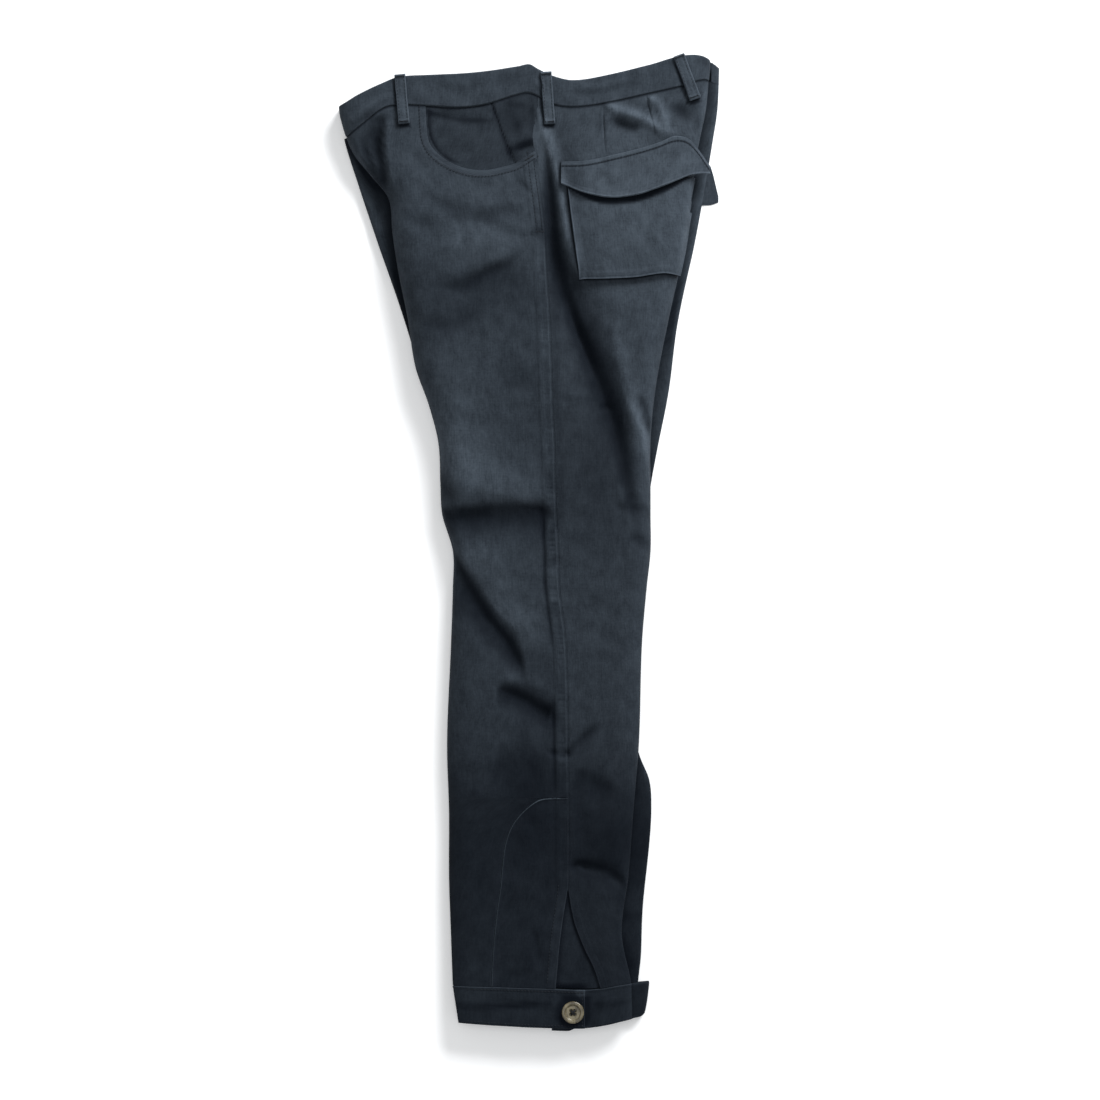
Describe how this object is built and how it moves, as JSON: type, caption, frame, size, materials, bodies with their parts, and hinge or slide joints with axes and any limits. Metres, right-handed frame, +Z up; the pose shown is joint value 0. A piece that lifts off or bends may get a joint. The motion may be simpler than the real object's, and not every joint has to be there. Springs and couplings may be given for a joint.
{
  "type": "slim chino trousers",
  "caption": "Slim chino trousers with back flap pockets, shin panels and buttoned ankle bands, laid flat on their side with the outer side of one leg showing.",
  "frame": {"origin": "middle of the garment's outline, on the plane it lies on", "axes": "+Y from the ankle bands up to the waistband, +X from the front folds to the back folds, +Z up from the plane it lies on"},
  "size_m": [0.3958, 1.0128, 0.0359],
  "materials": {
    "twill": "soft brushed cotton twill in dark slate blue",
    "horn": "mottled brown horn with a polished rim"
  },
  "bodies": {
    "root": {"left_front": "twill", "left_shin_panel": "twill", "left_pocket_facing": "twill", "left_back": "twill", "right_front": "twill", "right_shin_panel": "twill", "right_pocket_facing": "twill", "right_back": "twill", "waistband_left": "twill", "waistband_right": "twill", "left_ankle_band": "twill", "right_ankle_band": "twill", "left_vent_gusset": "twill", "right_vent_gusset": "twill", "left_front_belt_loop": "twill", "right_front_belt_loop": "twill", "left_side_belt_loop": "twill", "right_side_belt_loop": "twill", "left_back_belt_loop": "twill", "right_back_belt_loop": "twill", "left_back_pocket": "twill", "left_pocket_flap": "twill", "right_back_pocket": "twill", "right_pocket_flap": "twill", "left_ankle_button": "horn", "right_ankle_button": "horn"}
  },
  "joints": []
}
